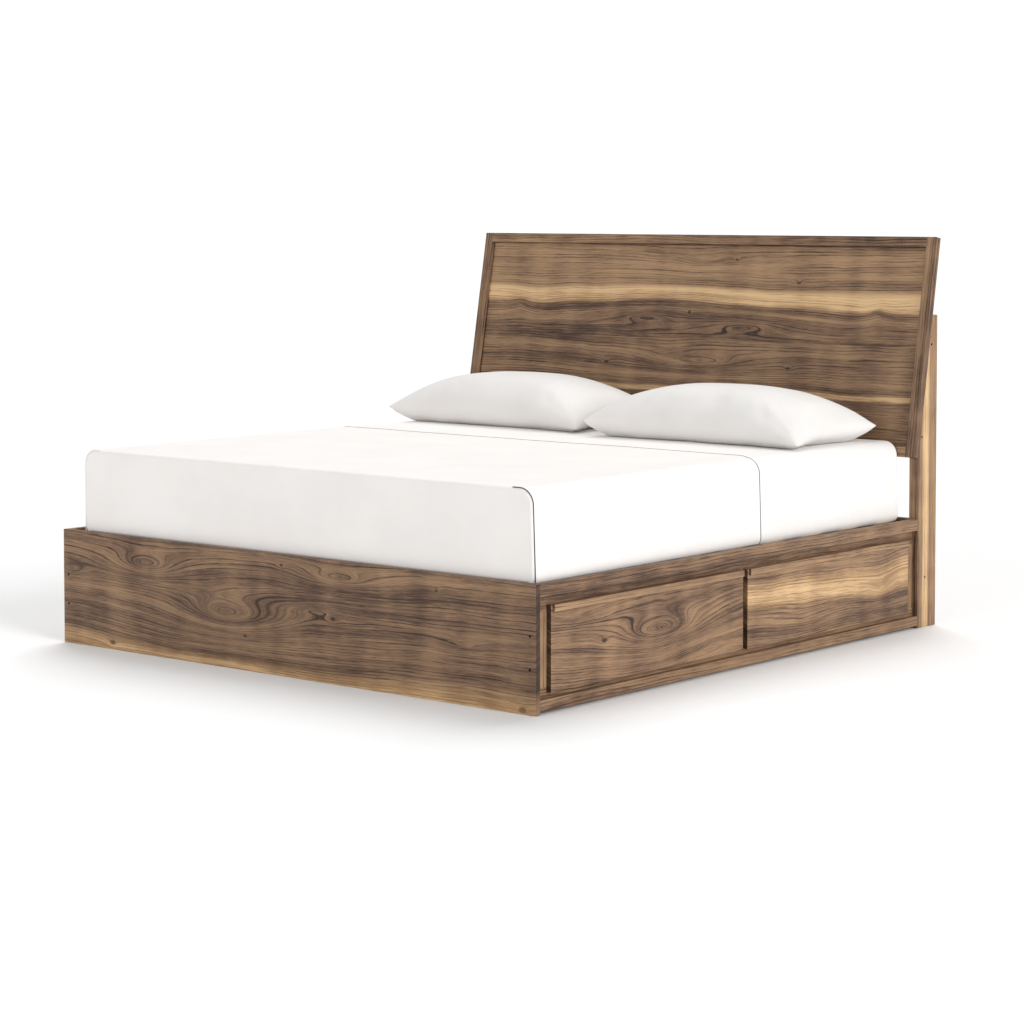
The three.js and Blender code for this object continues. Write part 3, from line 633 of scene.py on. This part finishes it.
def soft_block(low, high, grow=0.0):
    """A closed block: its profile has soft upper edges, and its two ends have tight ones.
    grow says how far low and high already lie outside the plain mattress."""
    rows = [rows_between(low.x, high.x, TOP_ROUND, grow), rows_between(low.y, high.y, 0.0, grow),
            rows_between(low.z, high.z, TOP_ROUND, grow)]
    middle, half = (low + high) / 2, (high - low) / 2
    tight = END_ROUND + grow
    builder = bmesh.new()
    made = {}

    def shaped(place):
        off = place - middle
        towards_head = (place.y - low.y) / (high.y - low.y)
        past_side = max(abs(off.x) - half.x, abs(off.z) - half.z) + tight
        past_end = abs(off.y) - half.y + tight
        if past_side > 0 and past_end > 0:
            share = tight / math.hypot(past_side, past_end)
            room_x, room_z = half.x - tight + past_side * share, half.z - tight + past_side * share
            off.x = min(max(off.x, -room_x), room_x)
            off.z = min(max(off.z, -room_z), room_z)
            off.y = math.copysign(half.y - tight + past_end * share, off.y)
        bend = (TOP_ROUND if off.z > 0 else BASE_ROUND) + grow
        beyond = Vector((max(abs(off.x) - half.x + bend, 0), max(abs(off.z) - half.z + bend, 0)))
        if beyond.x > 0 and beyond.y > 0:
            beyond = beyond.normalized() * max(beyond)
            off.x = math.copysign(half.x - bend + beyond.x, off.x)
            off.z = math.copysign(half.z - bend + beyond.y, off.z)
        # the drawer side draws in a little towards the head, and a little towards the top
        leftness = (half.x - off.x) / (2 * half.x)
        rise = (off.z + half.z) / (2 * half.z)
        off.x -= (1 - leftness) * (HEAD_TAPER * towards_head + TOP_TAPER * rise)
        return middle + off

    def corner(spot):
        if spot not in made:
            made[spot] = builder.verts.new(shaped(Vector([rows[n][spot[n]] for n in range(3)])))
        return made[spot]

    for axis in range(3):
        first, second = (axis + 1) % 3, (axis + 2) % 3
        for end in (0, len(rows[axis]) - 1):
            for i in range(len(rows[first]) - 1):
                for j in range(len(rows[second]) - 1):
                    face = []
                    for di, dj in ((0, 0), (1, 0), (1, 1), (0, 1)):
                        spot = [0, 0, 0]
                        spot[axis], spot[first], spot[second] = end, i + di, j + dj
                        face.append(corner(tuple(spot)))
                    builder.faces.new(face if end else face[::-1])
    builder.normal_update()
    return builder


mattress_low, mattress_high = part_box("mattress")
sheet_low, sheet_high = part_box("flat_sheet")
RAIL_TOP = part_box("right_top_rail")[1].z
MATTRESS_CLEAR = 0.0006   # m between the mattress and what it lies on
SHEET_CLEAR = 0.0008      # m between the sheet's inner face and the mattress
SHEET_THICK = 0.0014
TUCK = 0.0004             # m that the cover lies in under the sheet
SIDE_CREASES = 0.0030     # m, upright soft creases in the hanging cloth
FOOT_CREASES = 0.0045     # m, sharper ones that the tuck at the foot corner draws in
FOOT_CREASE_REACH = 0.55  # m along the side before they fade
TOP_RUMPLE = 0.0016       # m, broad soft unevenness on top
FOOT_FOLDS = 0.0016       # m, long shallow folds that lie level across the foot end
RAIL_HOLD = 0.05          # m above the rails before the cloth stands free
SEAM_HOLD = 0.06          # m from the foot seam before the side's creases stand free
FOOT_HOLD = 0.12          # m from the side before the foot end's folds do


def smooth(value):
    value = min(max(value, 0.0), 1.0)
    return value * value * (3 - 2 * value)


def rumple(place, normal, sheeted):
    """How far the cloth stands out from the plain block here, in metres. Each noise is read at the
    place times its folds to a metre: upright creases have few up a side."""
    free = smooth((place.z - RAIL_TOP - 0.004) / RAIL_HOLD)
    broad = noise.noise(place * 2.6) + 0.5 * noise.noise(place * 6.1 + Vector((4, 2, 7)))
    height = TOP_RUMPLE * 0.6 * broad * (0.3 + abs(normal.z))
    upright = 1 - abs(normal.z)
    slant = 0.25 * place.z * noise.noise(Vector((place.x, place.y, 0)) * 1.7)
    crease = noise.noise(Vector(((place.x + slant) * 9.0, (place.y + slant) * 9.0, place.z * 1.3)))
    if not sheeted:
        return (height + upright * SIDE_CREASES * 0.25 * crease) * free
    fine = noise.noise(Vector(((place.x - slant) * 23.0, (place.y + slant) * 23.0, place.z * 2.5)))
    height += upright * SIDE_CREASES * (0.3 + 0.3 * crease + 0.12 * fine)
    # both kinds of fold die out before the corner seam, which holds the cloth tight
    from_foot = place.y - mattress_low.y
    from_side = min(place.x - mattress_low.x, mattress_high.x - place.x)
    near = math.exp(-from_foot / FOOT_CREASE_REACH) * abs(normal.x)
    near *= smooth((from_foot - 0.01) / SEAM_HOLD)
    sharp = noise.noise(Vector((place.x * 2, (place.y + slant * 1.5) * 38.0, place.z * 3.4)))
    height += near * FOOT_CREASES * (1 + 1.5 * sharp)
    lying = noise.noise(Vector((place.x * 2.6 + 3.0, place.x * 1.1 + place.z * 15.0, place.z * 2.0)))
    height += max(-normal.y, 0) * FOOT_FOLDS * (1 + lying) * smooth((from_side - 0.03) / FOOT_HOLD)
    return height * free


def cover_height(place, normal):
    """The fitted cover's unevenness. Under the sheet it stays inside the sheet's."""
    under = smooth((hem_head - 0.004 - place.y) / 0.02)
    loose = rumple(place, normal, False)
    tucked = min(loose, rumple(place, normal, True)) - TUCK
    return loose * (1 - under) + tucked * under


def shake_out(builder, height_at):
    """Moves each point of a block outward by the cloth's unevenness there."""
    moves = [(v, v.normal.copy(), height_at(v.co, v.normal)) for v in builder.verts]
    for vertex, normal, height in moves:
        vertex.co += normal * height


hem_head = sheet_high.y
hem_low = sheet_low.z

# mattress in its fitted cover: firm foam, every edge rounded, barely uneven
builder = soft_block(mattress_low + Vector((0, 0, MATTRESS_CLEAR)), mattress_high)
shake_out(builder, cover_height)
mattress = place_piece("mattress_in_cover", mesh_from(builder, "mattress"), "bed_frame", percale)
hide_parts("mattress")

# flat sheet over the foot part, hanging on three sides
out = Vector((SHEET_CLEAR,) * 3)
builder = soft_block(mattress_low - out, mattress_high + out, SHEET_CLEAR)
shake_out(builder, lambda place, normal: rumple(place, normal, True))
for plane, normal in (((0, hem_head, 0), (0, 1, 0)), ((0, 0, hem_low), (0, 0, -1))):
    everything = builder.verts[:] + builder.edges[:] + builder.faces[:]
    bmesh.ops.bisect_plane(builder, geom=everything, plane_co=plane, plane_no=normal, clear_outer=True)
at_head = {v for v in builder.verts if abs(v.co.y - hem_head) < 1e-5}
for vertex in builder.verts:
    hang = smooth((vertex.co.x - mattress_high.x + SKEW_START) / SKEW_TURN)
    near_hem = smooth((vertex.co.y - hem_head + SKEW_REACH) / SKEW_REACH)
    vertex.co.y -= SIDE_HEM_SKEW * hang * near_hem
head_edge = sorted((v.co.copy() for v in builder.verts if v in at_head),
                   key=lambda p: math.atan2(p.x - (mattress_low.x + mattress_high.x) / 2,
                                            p.z - mattress_low.z))
sheet = place_piece("flat_sheet_cloth", mesh_from(builder, "flat_sheet"), "bed_frame", percale)
weight = sheet.modifiers.new("cloth", "SOLIDIFY")
weight.thickness = SHEET_THICK
weight.offset = 1.0
settle(sheet)
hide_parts("flat_sheet")


def thin_roll(name, points, radius, material):
    """A thin rolled edge along a line of points."""
    line = bpy.data.curves.new(name, "CURVE")
    line.dimensions = "3D"
    line.bevel_depth = radius
    line.bevel_resolution = 2
    line.use_fill_caps = True
    spline = line.splines.new("POLY")
    spline.points.add(len(points) - 1)
    for spot, place in zip(spline.points, points):
        spot.co = (*place, 1.0)
    shape = bpy.data.objects.new(name, line)
    scene.collection.objects.link(shape)
    graph = bpy.context.evaluated_depsgraph_get()
    mesh = bpy.data.meshes.new_from_object(shape.evaluated_get(graph), depsgraph=graph)
    bpy.data.objects.remove(shape)
    mesh.shade_smooth()
    return place_piece(name, mesh, "bed_frame", material)


HEM_ROLL = 0.0024         # m, the hem's radius
SEAM_ROLL = 0.0016        # m, the corner seams'
SEAM_START = 0.075        # m in from the side, on the foot end's top edge
SEAM_SUNK = 0.0012        # m, the seams sit in the cloth by this
SEAM_BEND_STEPS = 12
head_hem = thin_roll("sheet_head_hem", head_edge, HEM_ROLL, painted_shadow_cotton)


def corner_line(side):
    """The seam round the sheet's foot end: along its top edge, over the soft corner and down."""
    reach_x = (mattress_high.x if side > 0 else mattress_low.x) + side * (SHEET_CLEAR + SHEET_THICK)
    lean = TOP_TAPER if side > 0 else 0.0
    top = mattress_high.z + SHEET_CLEAR + SHEET_THICK
    bend = TOP_ROUND + SHEET_CLEAR + SHEET_THICK
    front = mattress_low.y + SEAM_SUNK
    points = [Vector((reach_x - side * (SEAM_START + (bend - SEAM_START) * k / 4), front, top))
              for k in range(4)]
    for k in range(SEAM_BEND_STEPS + 1):
        turn = math.radians(90 - 90 * k / SEAM_BEND_STEPS)
        points.append(Vector((reach_x - side * (bend - bend * math.cos(turn)), front,
                              top - bend + bend * math.sin(turn))))
    count = round((top - bend - hem_low) / CLOTH_STEP)
    for k in range(1, count + 1):
        points.append(Vector((reach_x, front, top - bend + (hem_low - top + bend) * k / count)))
    for point in points:
        point.x -= lean * (point.z - mattress_low.z) / (mattress_high.z - mattress_low.z)
    return points


# The drawer-side corner seam takes the dark cotton, a painted shadow line down the corner; the left seam
# stays white.
right_seam = thin_roll("sheet_right_corner_seam", corner_line(1), SEAM_ROLL, painted_shadow_cotton)
left_seam = thin_roll("sheet_left_corner_seam", corner_line(-1), SEAM_ROLL, percale)

# ---- pillows

# Each pillow is two cloths sewn along their rim and stuffed. It rests on its underside, so its rim
# lies low, its crown rises steeply from the long sides, and its foot-side corner nearest the
# drawers is pressed flat.
PILLOW_CELL = 0.0125      # m between the cloths' points
RIM_HEIGHT = 0.054        # m from the mattress up to the rim
CORNER_PRESS = 0.046      # m that the pressed corner lies lower
END_DRAW = 0.055          # share of its half length that the filling draws each end in
SIDE_DRAW = 0.045         # and share of its half width that it draws each side in
CORNER_CREASE = 0.0070    # m, the puckers that run out from each corner
CREASE_REACH = 0.12       # m from a corner before they fade
CROWN_FLATNESS = 2.5      # higher keeps it flat nearer to the rim
CROWN_STEEPNESS = (0.68, 0.60)   # lower rises faster: from the ends, from the sides
UNDERSIDE = (6, 0.4)      # the same two for the side that it rests on
START_SHARE = 0.93        # the cloths start this much flatter, and the filling pushes them out
FILL_PRESSURE = 3.2
FILL_FRAMES = 20
FILL_CAP = 0.016          # m, the most that the filling moves a point
RELAX_ROUNDS = 3          # rounds of smoothing after the filling


def stuffed_pillow(low, high):
    """The pillow's two cloths, joined at the rim, as they lie before the filling pushes them out."""
    middle, half = (low + high) / 2, (high - low) / 2
    across, down = round(2 * half.x / PILLOW_CELL), round(2 * half.y / PILLOW_CELL)
    crown = (high.z - low.z - RIM_HEIGHT) * START_SHARE
    builder = bmesh.new()
    made = {}

    def corner(i, j, side):
        rim = i in (0, across) or j in (0, down)
        key = (i, j, 0 if rim else side)
        if key not in made:
            u, v = 2 * i / across - 1, 2 * j / down - 1
            # both are drawn in a little between the corners
            x = half.x * u * (1 - END_DRAW * (1 - v * v) * abs(u) ** 3)
            y = half.y * v * (1 - SIDE_DRAW * (1 - u ** 4) * abs(v) ** 3)
            pressed = smooth((u - 0.45) / 0.55) * smooth((-v - 0.2) / 0.8)
            z = low.z + RIM_HEIGHT - CORNER_PRESS * pressed
            if not rim and side > 0:
                z += (crown * max(1 - abs(u) ** CROWN_FLATNESS, 0) ** CROWN_STEEPNESS[0]
                      * max(1 - abs(v) ** CROWN_FLATNESS, 0) ** CROWN_STEEPNESS[1])
            if not rim and side < 0:
                flatness, steepness = UNDERSIDE
                z -= (z - low.z) * (max(1 - u ** flatness, 0) * max(1 - v ** flatness, 0)) ** steepness
            made[key] = builder.verts.new((middle.x + x, middle.y + y, z))
        return made[key]

    for side in (1, -1):
        for i in range(across):
            for j in range(down):
                face = [corner(i, j, side), corner(i + 1, j, side), corner(i + 1, j + 1, side),
                        corner(i, j + 1, side)]
                builder.faces.new(face if side > 0 else face[::-1])
    return builder


def push_out_filling(piece):
    """Lets the filling push the cloths out by simulation, with no gravity and a limit on each move."""
    start = [v.co.copy() for v in piece.data.vertices]
    cloth = piece.modifiers.new("filling", "CLOTH")
    settings = cloth.settings
    settings.quality = 5
    settings.mass = 0.25
    settings.tension_stiffness = settings.compression_stiffness = 18
    settings.shear_stiffness = 6
    settings.bending_stiffness = 0.6
    settings.tension_damping = settings.compression_damping = 12
    settings.use_pressure = True
    settings.uniform_pressure_force = FILL_PRESSURE
    settings.effector_weights.gravity = 0.0
    cloth.point_cache.frame_start = 1
    cloth.point_cache.frame_end = FILL_FRAMES
    for step in range(1, FILL_FRAMES + 1):
        scene.frame_set(step)
    settle(piece)
    scene.frame_set(1)
    for vertex, before in zip(piece.data.vertices, start):
        move = vertex.co - before
        if move.length > FILL_CAP:
            vertex.co = before + move.normalized() * FILL_CAP


def fit_pillow(piece, low, high):
    """Brings the filled pillow back to its own length and width, its underside flat on the mattress."""
    spots = [v.co.copy() for v in piece.data.vertices]
    found_low = [min(p[n] for p in spots) for n in range(3)]
    found_high = [max(p[n] for p in spots) for n in range(3)]
    for vertex, spot in zip(piece.data.vertices, spots):
        share = [(spot[n] - found_low[n]) / (found_high[n] - found_low[n]) for n in range(3)]
        z = max(spot.z, low.z)
        z = low.z + (z - low.z) * (high.z - low.z) / (found_high[2] - low.z)
        vertex.co = Vector((low.x + share[0] * (high.x - low.x), low.y + share[1] * (high.y - low.y), z))


def pucker(mesh, low, high):
    """Lays short folds that fan out from the corners, and broad soft ones over the crown."""
    middle = (low + high) / 2
    for vertex in mesh.vertices:
        off = vertex.co - middle
        end = Vector((math.copysign((high.x - low.x) / 2, off.x),
                      math.copysign((high.y - low.y) / 2, off.y)))
        away = Vector((end.x - off.x, end.y - off.y))
        turn = math.atan2(abs(away.y), abs(away.x)) if away.length > 1e-6 else 0.0
        fold = noise.noise(Vector((turn * 7.0 + end.x * 5, away.length * 5.0,
                                   vertex.co.z * 12 + end.y * 9)))
        fade = math.exp(-away.length / CREASE_REACH) * smooth(away.length / 0.03)
        broad = noise.noise(Vector((vertex.co.x * 5.0, vertex.co.y * 9.0, vertex.co.z * 9.0)))
        lift = CORNER_CREASE * (fold * fade + 0.35 * broad * smooth((vertex.co.z - low.z) / 0.05))
        vertex.co += vertex.normal * lift


for side in ("left", "right"):
    low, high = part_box("pillow_" + side)
    piece = place_piece(f"pillow_{side}_filled", mesh_from(stuffed_pillow(low, high), "pillow_" + side),
                        "bed_frame", shaded_pillow_percale)
    push_out_filling(piece)
    relax = piece.modifiers.new("relaxed", "SMOOTH")
    relax.factor = 0.5
    relax.iterations = RELAX_ROUNDS
    settle(piece)
    pucker(piece.data, low, high)
    fit_pillow(piece, low, high)
    finer = piece.modifiers.new("finer", "SUBSURF")
    finer.levels = 1
    settle(piece)
    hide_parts("pillow_" + side)

# ---- studio

FLOOR_HALF = 20.0         # m from its middle to its edge
FLOOR_CELLS = 24
FLOOR_DROP = 0.001        # m under the feet, so that no faces coincide


def lay_floor():
    """A wide pale floor, painted board with a faint unevenness."""
    builder = bmesh.new()
    places = [FLOOR_HALF * (2 * n / FLOOR_CELLS - 1) for n in range(FLOOR_CELLS + 1)]
    rows = [[builder.verts.new((x, y, 0)) for y in places] for x in places]
    for i in range(FLOOR_CELLS):
        for j in range(FLOOR_CELLS):
            builder.faces.new([rows[i][j], rows[i + 1][j], rows[i + 1][j + 1], rows[i][j + 1]])
    material, tree, shader = blank_material("studio_floor_painted")
    spots = add(tree, "TexNoise", {"Vector": add(tree, "TexCoord").outputs["Object"], "Scale": 0.8})
    colour = colours(add(tree, "ValToRGB", [spots]), (0.3, "#fafafa"), (0.7, "#fcfcfc"))
    tree.links.new(colour, shader.inputs["Base Color"])
    shader.inputs["Roughness"].default_value = 0.9
    shader.inputs["Specular IOR Level"].default_value = 0.1
    floor = bpy.data.objects.new("studio_floor", mesh_from(builder, "studio_floor"))
    floor.data.materials.append(material)
    floor.location.z = -FLOOR_DROP
    scene.collection.objects.link(floor)


def soft_sun(name, towards, strength, spread):
    """Even soft light from one side; towards points from the bed to the light."""
    light = bpy.data.lights.new(name, "SUN")
    light.energy = strength
    light.angle = math.radians(spread)
    lamp = bpy.data.objects.new(name, light)
    lamp.rotation_euler = Vector(towards).to_track_quat("Z", "Y").to_euler()
    scene.collection.objects.link(lamp)


def white_room(glow, backdrop):
    """A white room: it glows softly on the bed, and its far walls look plain white."""
    world = bpy.data.worlds.new("white_studio")
    world.use_nodes = True
    tree = world.node_tree
    seen = add(tree, "LightPath").outputs["Is Camera Ray"]
    strength = add(tree, "MapRange", {"Value": seen, "To Min": glow, "To Max": backdrop})
    tree.links.new(strength.outputs[0], tree.nodes["Background"].inputs["Strength"])
    tree.nodes["Background"].inputs["Color"].default_value = (1, 1, 1, 1)
    scene.world = world


lay_floor()
white_room(glow=0.35, backdrop=1.05)
soft_sun("overhead_back_light", (-0.35, 0.6, 1.0), 1.75, 42)
soft_sun("drawer_side_light", (1.0, -0.1, 0.40), 2.05, 32)
soft_sun("foot_side_light", (-0.15, -1.0, 0.2), 0.90, 50)
